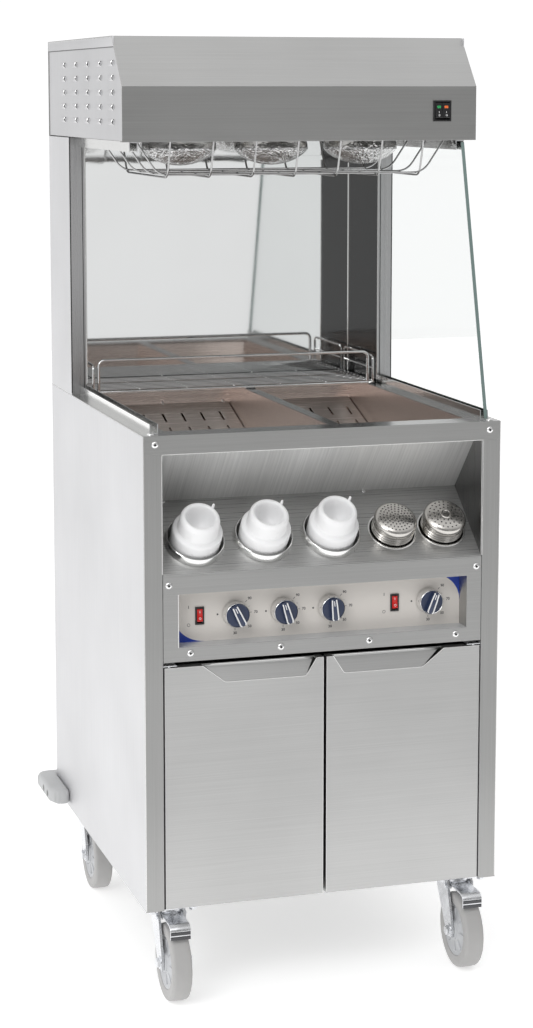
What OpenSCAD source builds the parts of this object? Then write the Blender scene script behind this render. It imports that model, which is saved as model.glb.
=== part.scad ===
// Heated fry holding station on castors: a stainless cupboard base with two
// hot wells in its deck, a recess for sauce bottles and salt shakers above the
// controls, and a hood with three heat lamps carried on two rear columns.
// Front faces -Y, +X is to the right, +Z is up, and the floor is z = 0.

/* [Cabinet] */
// Width over the side panels
body_w = 600; // [598:1:606]
// Depth from the front plane to the rear plane
body_d = 690; // [688:1:700]
// Height of the deck above the floor
deck_z = 925; // [920:1:930]
// Height of the underside of the base
base_z = 155; // [155:1:157]
// Thickness of the folded sheet
sheet = 1.5; // [1.2:0.1:2]
// Width of the front post on each side
post_w = 30; // [28:1:32]
// Height of the rail under the deck's front edge
rail_h = 30; // [28:1:32]

/* [Hood] */
// Underside of the hood
hood_bottom = 1377; // [1370:1:1385]
// Height at which the hood's front starts to slope
hood_knee = 1465; // [1455:1:1475]
// Top of the hood
hood_top = 1545; // [1535:1:1555]
// Setback of the hood's front face
hood_front = 122; // [115:1:130]
// Setback of the hood's top edge
hood_brow = 190; // [180:1:200]
// Setback of the columns
column_front = 520; // [510:1:530]
// Width of each column
column_w = 28; // [26:1:28]

/* [Wells] */
// Setback of the wells' front edge
well_front = 45; // [42:1:48]
// Offset of the divider between the wells, from the centre
divider_x = 28; // [20:1:32]
// Width of the divider
divider_w = 18; // [18:1:22]
// Half width over both wells
wells_half = 255; // [250:1:256]
// Floor of the wells
well_floor = 805; // [803:1:810]

/* [Controls] */
// Height of the knobs' centres
knob_z = 627; // [625:1:629]
// Setback of the control panel
panel_set = 33; // [30:1:36]
// Diameter of a knob's skirt
knob_d = 43; // [40:1:44]

/* [Castors] */
// Wheel diameter
wheel_d = 125; // [123:1:125]
// Wheel width
wheel_w = 32; // [28:1:34]
// Distance of the wheel's axle from the swivel axis
trail = 38; // [34:1:38]
// Setback of the front swivel axes
swivel_front = 58; // [58:1:60]
// Setback of the rear swivel axes
swivel_rear = 615; // [610:1:620]
// Distance of the swivel axes from the centre plane
swivel_x = 250; // [246:1:250]

/* [Hidden] */
$fn = 48;

half_w = body_w / 2;
wheel_r = wheel_d / 2;
bumper_out = 35;
bumper_back = 22.5;
front_reach = wheel_r - (swivel_front - trail);
front_y = -(body_d + bumper_back - front_reach) / 2;

steel = "#b4b4b2";
pale_steel = "#dcdcdc";
dark_steel = "#8c8c8a";
zinc = "#c6c8ca";
grey_plastic = "#7d8184";
play = 0.05;            // radial running clearance of pins and shafts
gap = 0.2;              // assembly gap between neighbouring sheets

// Folded recess above the controls: shelf front edge, crease and upper edge,
// each as setback and height
shelf_edge = [2, 704];
crease = [121, 800];
recess_top = [34, 893];
shelf_a = atan2(crease[1] - shelf_edge[1], crease[0] - shelf_edge[0]);
cup_run = 62;           // holder centres, measured up the shelf
bottle_x = [-204, -90, 25];
shaker_x = [131, 217];
bottle_cup_r = 46.6;
shaker_cup_r = 39;
bottle_cup_h = 12;      // how far a bottle cup stands proud of the shelf
bottle_depth = 92;
shaker_depth = 62;

fascia_z = [562, 701];
window_x = 244;
window_z = [585, 671];
knob_x = [-142, -61, 19, 189];
knob_turn = [-26, -17, -5, 21]; // grip bars, clockwise from upright
rocker_x = [-201, 130];
panel_bezel = [11.4, 25.6];
hood_bezel = [28, 31];
rocker_tilt = 7;
rocker_pivot = 5;
panel_t = 2;
shaft_r = 4;

door_z = [157.5, 553];
tray_bottom = 556;
door_t = 20;
door_gap = 2.5;
hinge_inset = 9;
hinge_set = 6;          // setback of the pins, so the door's edge clears the post
hinge_r = 3;
pull_top = [63, 12];    // ends of the finger pull, from the hinge and lock sides
pull_bottom = [100, 30];
pull_h = 29;
pull_set = 14;

rack_front = 514;
rack_back = 676;
rack_half = 262;
rack_wire = 3;
lip_z = 985;

lamp_x = 160;
lamp_y = 300;
lamp_r = 62.5;
lamp_bottom = 1334;
tray_z = 1424;
guard_wire = 2.5;
guard_z = 1319;
guard_x = 228;
guard_pitch = 72;
guard_lap = 4.4;        // crossing wires are welded with a small overlap

hood_switch = [240, 1425];
channel_w = 14;
channel_h = 16;
channel_x = 278;
glass_t = 6;

plate_t = 4;
fork_t = 4;
axle_r = 5;
pedal_back = 20;        // pedal pivot, ahead of the swivel axis
pedal_reach = 64;
pedal_drop = 20;        // depth of the pedal's front tab below its pivot
pedal_z = 134;

function side(s) = s < 0 ? [1, 0, 0] : [0, 0, 0];

// Block between two x, two setbacks behind the front plane and two heights
module slab(x, d, z)
    translate([x[0], front_y + d[0], z[0]])
        cube([x[1] - x[0], d[1] - d[0], z[1] - z[0]]);

// Outline of setbacks and heights, extruded across the cabinet
module across(points, x)
    translate([x[0], front_y, 0])
        rotate([90, 0, 90])
            linear_extrude(x[1] - x[0])
                polygon(points);

// Cylinder along X, Y or Z, centred on a point given as x, setback, height
module rod_x(p, r, l)
    translate([p[0], front_y + p[1], p[2]])
        rotate([0, 90, 0])
            cylinder(r = r, h = l, center = true);

module rod_y(p, r, l)
    translate([p[0], front_y + p[1], p[2]])
        rotate([90, 0, 0])
            cylinder(r = r, h = l, center = true);

module rod_z(p, r, l)
    translate([p[0], front_y + p[1], p[2]])
        cylinder(r = r, h = l, center = true);

// Frame of the sloping holder shelf: +Y up the slope, +Z out of it
module on_shelf(x, run = cup_run, rise = 0)
    translate([x, front_y + shelf_edge[0], shelf_edge[1]])
        rotate([shelf_a, 0, 0])
            translate([0, run, rise])
                children();

// Straight wire between two points
module wire(a, b, r, sides = 24) {
    v = b - a;
    l = norm(v);
    translate(a)
        rotate([0, acos(v[2] / l), atan2(v[1], v[0])])
            cylinder(r = r, h = l, $fn = sides);
}

// Wire through a list of points, with a ball at each bend
module wire_path(points, r, sides = 24) {
    for (i = [0 : len(points) - 2])
        wire(points[i], points[i + 1], r, sides);
    for (i = [1 : len(points) - 2])
        translate(points[i])
            sphere(r = r, $fn = sides);
}

// ---- base ----

module side_panel(s)
    color(pale_steel)
        mirror(side(s))
            union() {
                slab([half_w - sheet, half_w], [0, body_d], [base_z, deck_z - sheet]);
                slab([half_w - post_w, half_w], [0, sheet], [base_z, deck_z - rail_h - gap]);
                slab([half_w - post_w, half_w - post_w + sheet], [0, 14],
                     [base_z, deck_z - rail_h - gap]);
                slab([half_w - 25, half_w], [body_d - sheet, body_d], [base_z, deck_z - sheet]);
                slab([half_w - post_w, half_w], [0, body_d], [base_z, base_z + sheet]);
            }

module base_floor()
    color(dark_steel)
        union() {
            slab([-half_w + sheet + gap, half_w - sheet - gap], [23, body_d - 4],
                 [base_z + sheet, base_z + sheet + 2]);
            slab([-half_w + sheet + gap, half_w - sheet - gap], [23, 23 + sheet],
                 [base_z + sheet, base_z + 20]);
        }

module rear_panel()
    color(steel)
        difference() {
            slab([-half_w + sheet + gap, half_w - sheet - gap], [body_d - 3.5, body_d - sheet - gap],
                 [base_z + sheet + gap, deck_z - sheet - gap]);
            for (i = [0 : 8], s = [-1, 1])
                slab([s * 130 - 60, s * 130 + 60], [body_d - 10, body_d], [600 + i * 14, 605 + i * 14]);
            rod_y([-220, body_d, 250], 10, 20);
        }

module electrics_tray()
    color(dark_steel)
        slab([-half_w + sheet + gap, half_w - sheet - gap], [22, body_d - 4], [tray_bottom, tray_bottom + 2]);

well_l = [-wells_half, divider_x - divider_w / 2];
well_r = [divider_x + divider_w / 2, wells_half];
well_back = 640;

module deck()
    color(steel)
        difference() {
            union() {
                slab([-half_w, half_w], [0, body_d], [deck_z - sheet, deck_z]);
                slab([-half_w + sheet + gap, half_w - sheet - gap], [0, sheet], [deck_z - rail_h, deck_z]);
            }
            for (w = [well_l, well_r])
                slab(w, [well_front, well_back], [deck_z - 5, deck_z + 5]);
        }

// Outline of a well: a sloping front clears the recess below
function well_outline(d) = [
    [well_front - d, deck_z - sheet],
    [well_front + 105 - d, well_floor - d],
    [well_back - 40 + d, well_floor - d],
    [well_back + d, deck_z - sheet]];

module well(w)
    color(dark_steel)
        difference() {
            union() {
                across(well_outline(sheet), [w[0] - sheet, w[1] + sheet]);
                slab([w[0] - 8, w[1] + 8], [well_front - 8, well_back + 8],
                     [deck_z - 2 * sheet, deck_z - sheet]);
            }
            across(well_outline(0), w);
            slab(w, [well_front, well_back], [deck_z - 5, deck_z]);
        }

module well_heaters()
    color("#c8c4b8")
        for (w = [well_l, well_r])
            slab([w[0] + 12, w[1] - 12], [180, 570], [well_floor - sheet - 5, well_floor - sheet]);

// ---- recess and controls ----

module recess_liner()
    color(steel)
        difference() {
            union() {
                across([shelf_edge, crease, recess_top, [recess_top[0] + sheet * 1.4, recess_top[1] + gap],
                        [crease[0] + sheet * 1.4, crease[1]], [shelf_edge[0], shelf_edge[1] - sheet * 1.3]],
                       [-half_w + post_w + gap, half_w - post_w - gap]);
                for (s = [-1, 1])
                    mirror(side(s))
                        across([shelf_edge, crease, recess_top, [3, 893]],
                               [half_w - post_w - gap - 1.2, half_w - post_w - gap]);
            }
            for (x = bottle_x)
                on_shelf(x)
                    cylinder(r = bottle_cup_r, h = 40, center = true);
            for (x = shaker_x)
                on_shelf(x)
                    cylinder(r = shaker_cup_r, h = 40, center = true);
        }

// Turned cup sunk in the shelf, open at the top
module cup(r, wall, depth, proud)
    translate([0, 0, -depth])
        difference() {
            cylinder(r = r, h = depth + proud);
            translate([0, 0, wall])
                cylinder(r = r - wall, h = depth + proud);
        }

module holder_cups()
    color(zinc) {
        for (x = bottle_x)
            on_shelf(x)
                cup(bottle_cup_r, sheet, bottle_depth, bottle_cup_h);
        for (x = shaker_x)
            on_shelf(x)
                cup(shaker_cup_r, sheet, shaker_depth, 1);
    }

module fascia()
    color(steel)
        difference() {
            union() {
                slab([-half_w + post_w + 1, half_w - post_w - 1], [0, sheet], fascia_z);
                slab([-half_w + post_w + 1, half_w - post_w - 1], [0, 18],
                     [fascia_z[0], fascia_z[0] + sheet]);
                slab([-window_x - sheet, window_x + sheet], [0, panel_set],
                     [window_z[0] - sheet, window_z[1] + sheet]);
            }
            slab([-window_x, window_x], [-1, panel_set + 1], window_z);
        }

module control_panel()
    color("#d0cac4")
        difference() {
            slab([-window_x - 10, window_x + 10], [panel_set, panel_set + panel_t],
                 [window_z[0] - 8, window_z[1] + 8]);
            for (x = knob_x)
                rod_y([x, panel_set, knob_z], shaft_r + 1, 20);
            for (x = rocker_x)
                slab([x - panel_bezel[0] / 2, x + panel_bezel[0] / 2], [panel_set - 5, panel_set + 5],
                     [knob_z - panel_bezel[1] / 2, knob_z + panel_bezel[1] / 2]);
        }

// Thermostat bodies behind the panel, each with a bush for its knob's shaft
module thermostats()
    color("#8a8d90")
        for (x = knob_x)
            difference() {
                slab([x - 22, x + 22], [panel_set + panel_t, panel_set + panel_t + 26],
                     [knob_z - 19, knob_z + 19]);
                rod_y([x, panel_set + panel_t + 8, knob_z], shaft_r + play, 22);
            }

module bezel(p, size, front, deep)
    difference() {
        union() {
            slab([p[0] - size[0] / 2 - 1.5, p[0] + size[0] / 2 + 1.5], [front - 2, front],
                 [p[1] - size[1] / 2 - 1.5, p[1] + size[1] / 2 + 1.5]);
            slab([p[0] - size[0] / 2, p[0] + size[0] / 2], [front, front + deep],
                 [p[1] - size[1] / 2, p[1] + size[1] / 2]);
        }
        slab([p[0] - size[0] / 2 + 1, p[0] + size[0] / 2 - 1], [front - 5, front + deep - 2],
             [p[1] - size[1] / 2 + 1, p[1] + size[1] / 2 - 1]);
    }

module switch_bezels()
    color("#1c1c1e") {
        for (x = rocker_x)
            bezel([x, knob_z], panel_bezel, panel_set, 18);
        bezel(hood_switch, hood_bezel, hood_front, 20);
    }

// A rocker's cap on its pivot boss, at rest with its upper end pressed in
module rocker(p, w, h, front, tone)
    color(tone)
        translate([p[0], front_y + front + rocker_pivot, p[1]])
            rotate([-rocker_tilt, 0, 0])
                union() {
                    translate([-w / 2, -rocker_pivot - 4, -h / 2])
                        cube([w, 7, h]);
                    rotate([0, 90, 0])
                        cylinder(r = 3, h = w, center = true);
                }

module panel_rocker(x)
    rocker([x, knob_z], 9, 20.6, panel_set, "#c8261e");

module hood_rocker(s, tone)
    rocker([hood_switch[0] + s * 6.4, hood_switch[1]], 12.4, 25, hood_front, tone);

module knob(i)
    color("#1d2a52")
        translate([knob_x[i], 0, knob_z])
            rotate([0, knob_turn[i], 0])
                union() {
                    rod_y([0, panel_set - 10, 0], knob_d / 2, 17);
                    slab([-5, 5], [panel_set - 27, panel_set - 18], [-18, 18]);
                    rod_y([0, panel_set + 6, 0], shaft_r, 22);
                }

// ---- doors ----

hinge_x = half_w - post_w - door_gap - hinge_inset;

module door(s) {
    outer = half_w - post_w - door_gap;
    inner = door_gap;
    h = door_z[1];
    notch = [[outer - pull_top[0], h + 1], [outer - pull_top[0], h],
             [outer - pull_bottom[0], h - pull_h], [inner + pull_bottom[1], h - pull_h],
             [inner + pull_top[1], h], [inner + pull_top[1], h + 1]];
    color(steel)
        mirror(side(s))
            difference() {
                union() {
                    difference() {
                        slab([inner, outer], [0, door_t], door_z);
                        slab([inner + sheet, outer - sheet], [sheet, door_t - sheet],
                             [door_z[0] + sheet, h - sheet]);
                        slab([inner + 16, outer - 16], [door_t - 4, door_t + 1], [door_z[0] + 16, h - 40]);
                        translate([0, front_y + door_t + 1, 0])
                            rotate([90, 0, 0])
                                linear_extrude(door_t + 2)
                                    polygon(notch);
                    }
                    intersection() {
                        across([[0, h - pull_h - 1], [sheet, h - pull_h - 1], [pull_set, h - 6],
                                [pull_set, h], [pull_set - sheet, h], [pull_set - sheet, h - 5],
                                [0, h - pull_h + 1]], [inner, outer]);
                        translate([0, front_y + door_t + 1, 0])
                            rotate([90, 0, 0])
                                linear_extrude(door_t + 2)
                                    polygon(notch);
                    }
                    for (z = [h - 8, door_z[0] + 8])
                        rod_z([hinge_x, hinge_set, z], hinge_r + 2.5, 15);
                }
                for (z = [h, door_z[0]])
                    rod_z([hinge_x, hinge_set, z], hinge_r + play, 30);
            }
}

// Pivot pins of the doors, on lugs fixed to the base and the electrics tray
module hinge_brackets()
    color(zinc)
        for (s = [-1, 1])
            mirror(side(s)) {
                slab([hinge_x - 12, half_w - post_w - gap], [2.5, 28], [door_z[1] + 1.5, tray_bottom]);
                rod_z([hinge_x, hinge_set, door_z[1] - 3.5], hinge_r, 12);
                slab([hinge_x - 12, half_w - post_w - gap], [2.5, 22.8], [base_z, door_z[0] - 0.8]);
                rod_z([hinge_x, hinge_set, door_z[0] + 3.5], hinge_r, 12);
            }

// ---- columns, mirror and hood ----

module column(s)
    color(pale_steel)
        mirror(side(s))
            difference() {
                slab([half_w - column_w, half_w], [column_front, body_d], [deck_z, hood_bottom]);
                slab([half_w - column_w + sheet, half_w - sheet],
                     [column_front + sheet, body_d - sheet], [deck_z + sheet, hood_bottom - sheet]);
                slab([half_w - column_w + 6, half_w - 6], [body_d - 5, body_d + 1],
                     [deck_z + 20, hood_bottom - 20]);
            }

module mirror_panel()
    color("#c9cbcc")
        union() {
            slab([-half_w + column_w + gap, half_w - column_w - gap], [684, 686], [deck_z, hood_bottom]);
            slab([-half_w + column_w + gap, half_w - column_w - gap], [678, 684], [1330, 1338]);
        }

module hood_shell()
    color(steel)
        difference() {
            across([[body_d, hood_top], [hood_brow, hood_top], [hood_front, hood_knee],
                    [hood_front, hood_bottom], [hood_front + 14, hood_bottom],
                    [hood_front + 14, hood_bottom + sheet], [hood_front + sheet, hood_bottom + sheet],
                    [hood_front + sheet, hood_knee - 1], [hood_brow + 1, hood_top - sheet],
                    [body_d - sheet, hood_top - sheet], [body_d - sheet, hood_bottom],
                    [body_d, hood_bottom]], [-half_w, half_w]);
            slab([hood_switch[0] - hood_bezel[0] / 2, hood_switch[0] + hood_bezel[0] / 2],
                 [hood_front - 5, hood_front + 5],
                 [hood_switch[1] - hood_bezel[1] / 2, hood_switch[1] + hood_bezel[1] / 2]);
        }

louvre_cols = [205, 292, 384, 475, 569];

module hood_cheeks()
    color(pale_steel)
        for (s = [-1, 1])
            mirror(side(s))
                union() {
                    across([[body_d - sheet - gap, hood_top - sheet - gap],
                            [hood_brow + 2, hood_top - sheet - gap],
                            [hood_front + 2.5, hood_knee - 1.5],
                            [hood_front + 2.5, hood_bottom + sheet + gap],
                            [body_d - sheet - gap, hood_bottom + sheet + gap]], [half_w - 3, half_w - sheet]);
                    for (d = louvre_cols, i = [0 : 4])
                        across([[d - 20, 1404 + i * 23.5], [d + 20, 1404 + i * 23.5],
                                [d + 20, 1411 + i * 23.5], [d - 20, 1411 + i * 23.5]],
                               [half_w - sheet, half_w]);
                }

module lamp_tray()
    color("#d8d8d6")
        difference() {
            union() {
                slab([-half_w + 3 + gap, half_w - 3 - gap], [hood_front + 21, body_d - 30],
                     [tray_z, tray_z + sheet]);
                for (d = [hood_front + 21, body_d - 30 - sheet])
                    slab([-half_w + 3 + gap, half_w - 3 - gap], [d, d + sheet], [hood_bottom + 12, tray_z]);
            }
            for (i = [-1 : 1])
                rod_z([i * lamp_x, lamp_y, tray_z], 24, 20);
        }

module lamp_sockets()
    color("#e8e4da")
        for (i = [-1 : 1])
            difference() {
                union() {
                    rod_z([i * lamp_x, lamp_y, tray_z + 40], 22, 80);
                    rod_z([i * lamp_x, lamp_y, tray_z + sheet + 2], 32, 4);
                }
                rod_z([i * lamp_x, lamp_y, tray_z + 30], 14 + play, 70);
            }

// Reflector heat lamps: threaded cap, sloping shoulder and domed face
module heat_lamps()
    color("#d9d6d2", 0.8)
        for (i = [-1 : 1])
            translate([i * lamp_x, front_y + lamp_y, lamp_bottom])
                rotate_extrude($fn = 48)
                    polygon(concat(
                        [for (a = [0 : 10 : 60])
                            [lamp_r * sin(a) / sin(60), 26 * (1 - cos(a)) / (1 - cos(60))]],
                        [[lamp_r, 34], [lamp_r - 6, 50], [26, 78], [15, 86], [14, 90], [14, 122], [0, 124]]));

function hoop(x) = [
    [x, front_y + hood_front + 17, hood_bottom + 14], [x, front_y + hood_front + 40, guard_z],
    [x, front_y + 440, guard_z], [x, front_y + 480, hood_bottom + 14]];

module lamp_guard()
    color(zinc)
        union() {
            for (i = [-3 : 3])
                wire_path(hoop(i * guard_pitch), guard_wire, 10);
            for (d = [hood_front + 54, 252, 340, 426])
                wire_path([[-guard_x - 42, front_y + d, hood_bottom + 8],
                           [-guard_x, front_y + d, guard_z + guard_lap],
                           [guard_x, front_y + d, guard_z + guard_lap],
                           [guard_x + 42, front_y + d, hood_bottom + 8]], guard_wire, 10);
        }

module side_glass()
    color("#a9cfc0", 0.35)
        across([[10, deck_z + 3], [126, hood_bottom - 3], [column_front - 2, hood_bottom - 3],
                [column_front - 2, deck_z + 3]],
               [channel_x - glass_t / 2, channel_x + glass_t / 2]);

// U channel open towards the glass
module channel(x, d, z, open_up) {
    h = channel_h;
    difference() {
        slab([x - channel_w / 2, x + channel_w / 2], d, open_up ? [z, z + h] : [z - h, z]);
        slab([x - channel_w / 2 + sheet, x + channel_w / 2 - sheet], [d[0] - 1, d[1] + 1],
             open_up ? [z + sheet, z + h + 1] : [z - h - 1, z - sheet]);
    }
}

module glass_channels()
    color(zinc)
        for (s = [-1, 1]) {
            channel(s * channel_x, [18.2, column_front - gap], deck_z, true);
            channel(s * channel_x, [hood_front + 16, column_front - gap], hood_bottom, false);
        }

// ---- removable fittings ----

function rack_pt(x, d, z) = [x, front_y + d, z];

// Wire basket at the rear of the deck: base grid, two side frames and a front lip
module fry_rack()
    color(zinc)
        union() {
            z0 = deck_z + rack_wire;
            z1 = z0 + rack_wire + 0.6;
            sink = 1.1;             // wires end inside the one they are welded to
            lip_x = rack_half - 10;
            side_z = lip_z - 8;
            wire_path([rack_pt(-rack_half, rack_front, z0), rack_pt(rack_half, rack_front, z0),
                       rack_pt(rack_half, rack_back, z0), rack_pt(-rack_half, rack_back, z0),
                       rack_pt(-rack_half, rack_front, z0)], rack_wire, 10);
            translate(rack_pt(-rack_half, rack_front, z0))
                sphere(r = rack_wire, $fn = 10);
            for (i = [0 : 8])
                wire(rack_pt(-rack_half - sink, rack_front + 8 + i * 18, z1),
                     rack_pt(rack_half + sink, rack_front + 8 + i * 18, z1), 2, 10);
            for (x = [-175, -88, 0, 88, 175])
                wire(rack_pt(x, rack_front - sink, z0), rack_pt(x, rack_back + sink, z0), 1.4, 10);
            wire_path([rack_pt(-lip_x, rack_front, z0 - sink), rack_pt(-lip_x, rack_front, side_z),
                       rack_pt(-lip_x + 11, rack_front, lip_z), rack_pt(lip_x - 11, rack_front, lip_z),
                       rack_pt(lip_x, rack_front, side_z), rack_pt(lip_x, rack_front, z0 - sink)], 2.6, 10);
            for (s = [-1, 1]) {
                wire_path([rack_pt(s * rack_half, rack_front, z0), rack_pt(s * rack_half, rack_front, side_z),
                           rack_pt(s * rack_half, rack_back, side_z),
                           rack_pt(s * rack_half, rack_back, z0)], 2, 10);
                wire(rack_pt(s * rack_half, rack_front - 0.6, z0 + 26),
                     rack_pt(s * rack_half, rack_back + 0.6, z0 + 26), 1.6, 10);
            }
        }

// Perforated drip screen: a ramp at the rear and a flat floor ahead of it
ramp_low = [430, 822];
ramp_high = [626, 888];
ramp_a = atan2(ramp_high[1] - ramp_low[1], ramp_high[0] - ramp_low[0]);
screen_t = 1.3;
slot_pitch = 36;

module screen(w) {
    x0 = w[0] + 2;
    x1 = w[1] - 2;
    n = floor((x1 - x0 - 30) / slot_pitch);
    mid = (x0 + x1) / 2;
    color(steel)
        difference() {
            union() {
                across([[168, ramp_low[1] - screen_t], [ramp_low[0] + 0.2, ramp_low[1] - screen_t],
                        [ramp_high[0], ramp_high[1] - screen_t], ramp_high, ramp_low,
                        [168, ramp_low[1]]], [x0, x1]);
                for (d = [180, 412])
                    slab([x0 + 10, x1 - 10], [d, d + 1.2], [well_floor, ramp_low[1] - 0.5]);
            }
            for (i = [-n / 2 : n / 2], j = [0 : 3])
                slab([mid + i * slot_pitch - 2, mid + i * slot_pitch + 2],
                     [196 + j * 54, 230 + j * 54], [ramp_low[1] - 5, ramp_low[1] + 5]);
            for (i = [-n / 2 : n / 2], j = [0 : 2])
                translate([mid + i * slot_pitch - 2, front_y + ramp_low[0], ramp_low[1]])
                    rotate([ramp_a, 0, 0])
                        translate([0, 20 + j * 56, -5])
                            cube([4, 34, 10]);
        }
}

module bottle(x)
    color("#f2f2ef")
        on_shelf(x, cup_run, -bottle_depth + sheet)
            difference() {
                rotate_extrude($fn = 64)
                    polygon([[0, 0], [37, 0], [41, 5], [41, 120], [39.5, 122.5], [34, 124],
                             [33, 127], [33, 149], [29, 153.5], [0, 153.5]]);
                translate([0, 0, 3])
                    cylinder(r = 22, h = 170);
            }

// Stainless shaker: turned body under a ribbed, pierced lid
module shaker(x, rings)
    color(zinc)
        on_shelf(x, cup_run, -shaker_depth + sheet)
            difference() {
                rotate_extrude($fn = 64)
                    polygon([[0, 0], [33.5, 0], [33.5, 62], [35.5, 63], [35.5, 90], [34, 94],
                             [20, 96], [0, 97]]);
                for (k = [1 : rings])
                    for (i = [0 : 5 * k + 1])
                        rotate([0, 0, i * 360 / (5 * k + 2)])
                            translate([27 * k / rings, 0, 88])
                                cylinder(r = rings > 3 ? 1 : 1.3, h = 20, $fn = 16);
            }

// ---- trim and fasteners ----

// Corner bumper wrapped round the rear lower corner, with two screw holes
module corner_bumper()
    difference() {
        union() {
            slab([half_w, half_w + bumper_out - 9], [body_d - 116, body_d], [base_z + 6, base_z + 34]);
            slab([half_w, half_w + bumper_out], [body_d - 104, body_d], [base_z + 10, base_z + 30]);
            slab([half_w - 40, half_w + bumper_out - 9], [body_d, body_d + bumper_back - 7],
                 [base_z + 6, base_z + 34]);
            slab([half_w - 36, half_w + bumper_out - 4], [body_d, body_d + bumper_back],
                 [base_z + 10, base_z + 30]);
        }
        for (d = [body_d - 80, body_d - 46])
            rod_x([half_w + bumper_out, d, base_z + 20], 6, 2 * (bumper_out - 8));
    }

module corner_bumpers()
    color(grey_plastic)
        for (s = [-1, 1])
            mirror(side(s))
                corner_bumper();

module dome_screw()
    rotate_extrude($fn = 24)
        polygon([[0, 0], [5.8, 0], [5.6, 1.2], [4.4, 2.6], [2.2, 3.2], [2.2, 1.6], [0, 1.6]]);

module front_screw(x, z)
    translate([x, front_y, z])
        rotate([90, 0, 0])
            dome_screw();

module screws()
    color("#d8d8d8") {
        for (s = [-1, 1]) {
            front_screw(s * 281, deck_z - 14);
            front_screw(s * 260, 686);
            front_screw(s * 225, 575);
            front_screw(s * 75, 575);
            translate([s * 285, front_y + 12, deck_z])
                dome_screw();
        }
    }

// ---- castors ----

module caster_plates()
    color(zinc)
        for (s = [-1, 1], d = [swivel_front, swivel_rear])
            mirror(side(s))
                difference() {
                    union() {
                        slab([swivel_x - 42, swivel_x + 42], [d - 42, d + 42], [base_z - plate_t, base_z]);
                        rod_z([swivel_x, d, base_z - plate_t - 3], 26, 6);
                        rod_z([swivel_x, d, base_z - plate_t - 9], 8, 8);
                    }
                    for (i = [-1, 1], j = [-1, 1])
                        rod_z([swivel_x + i * 34, d + j * 34, base_z], 4.5, 20);
                }

fork_top = base_z - plate_t - 6 - 0.5;

// Fork with its swivel ring, two legs and the axle, trailing towards the front
module caster_fork(s, d)
    color(zinc)
        mirror(side(s)) {
            leg = wheel_w / 2 + 3;
            axle = d - trail;
            union() {
                difference() {
                    rod_z([swivel_x, d, fork_top - 3], 27, 6);
                    rod_z([swivel_x, d, fork_top - 3], 8 + play, 20);
                }
                difference() {
                    for (i = [-1, 1])
                        across([[d + 20, fork_top], [d - 26, fork_top], [axle - 13, wheel_r + 4],
                                [axle - 11, wheel_r - 10], [axle + 9, wheel_r - 12], [d + 18, fork_top - 22]],
                               i > 0 ? [swivel_x + leg, swivel_x + leg + fork_t]
                                     : [swivel_x - leg - fork_t, swivel_x - leg]);
                    if (d == swivel_front)
                        rod_x([swivel_x, d - pedal_back, pedal_z], 4 + play, 80);
                }
                difference() {
                    slab([swivel_x - leg - 1, swivel_x + leg + 1], [d - 22, d + 20],
                         [fork_top - 4, fork_top]);
                    rod_z([swivel_x, d, fork_top], 8 + play, 20);
                }
                rod_x([swivel_x, axle, wheel_r], axle_r, 2 * leg + 2 * fork_t + 10);
                rod_x([swivel_x, axle, wheel_r], 8, 2 * leg + 2 * fork_t + 4);
            }
        }

module caster_wheel(s, d)
    color(grey_plastic)
        mirror(side(s))
            translate([swivel_x, front_y + d - trail, wheel_r])
                rotate([0, 90, 0])
                    difference() {
                        rotate_extrude($fn = 96)
                            polygon([[0, -18], [16, -18], [20, -14], [38, -11], [44, -15], [52, -16],
                                     [60, -15], [wheel_r, -10], [wheel_r, 10], [60, 15], [52, 16],
                                     [44, 15], [38, 11], [20, 14], [16, 18], [0, 18]]);
                        cylinder(r = 8 + play, h = 60, center = true);
                    }

// Tread plate with a turned-down front tab, on a pivot rod through the front fork's legs
module brake_pedal(s)
    color(zinc)
        mirror(side(s)) {
            d = swivel_front - pedal_back;
            z = pedal_z;
            union() {
                across([[d + 6, z - 4], [d + 6, z + 2], [d - 12, z + 4], [d - pedal_reach + 6, z + 2],
                        [d - pedal_reach, z - 3], [d - pedal_reach, z - pedal_drop],
                        [d - pedal_reach + 3, z - pedal_drop], [d - pedal_reach + 3, z - 4],
                        [d - pedal_reach + 8, z - 1], [d - 12, z + 1]],
                       [swivel_x - 17, swivel_x + 17]);
                rod_x([swivel_x, d, z], 4, wheel_w + 6 + 2 * fork_t + 2);
            }
        }

// Cable entry on the rear panel
module cable_gland()
    color("#2a2a2c")
        difference() {
            union() {
                rod_y([-220, body_d + 6, 250], 13, 12 + 2 * sheet);
                rod_y([-220, body_d - 2, 250], 9.8, 20);
            }
            rod_y([-220, body_d, 250], 4.5, 60);
        }

side_panel(-1);  // side_panel_left
side_panel(1);  // side_panel_right
base_floor();
rear_panel();
electrics_tray();
deck();
well(well_l);  // well_left
well(well_r);  // well_right
well_heaters();
recess_liner();
holder_cups();
fascia();
control_panel();
thermostats();
switch_bezels();
hinge_brackets();
column(-1);  // column_left
column(1);  // column_right
mirror_panel();
hood_shell();
hood_cheeks();
lamp_tray();
lamp_sockets();
heat_lamps();
lamp_guard();
side_glass();
glass_channels();
corner_bumpers();
screws();
caster_plates();
cable_gland();
fry_rack();
screen(well_l);  // screen_left
screen(well_r);  // screen_right
bottle(bottle_x[0]);  // bottle_1
bottle(bottle_x[1]);  // bottle_2
bottle(bottle_x[2]);  // bottle_3
shaker(shaker_x[0], 5);  // shaker_1
shaker(shaker_x[1], 3);  // shaker_2
knob(0);  // knob_1
knob(1);  // knob_2
knob(2);  // knob_3
knob(3);  // knob_4
panel_rocker(rocker_x[0]);  // panel_rocker_left
panel_rocker(rocker_x[1]);  // panel_rocker_right
hood_rocker(-1, "#3aa655");  // hood_rocker_left
hood_rocker(1, "#e08a2c");  // hood_rocker_right
door(-1);  // door_left
door(1);  // door_right
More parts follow.
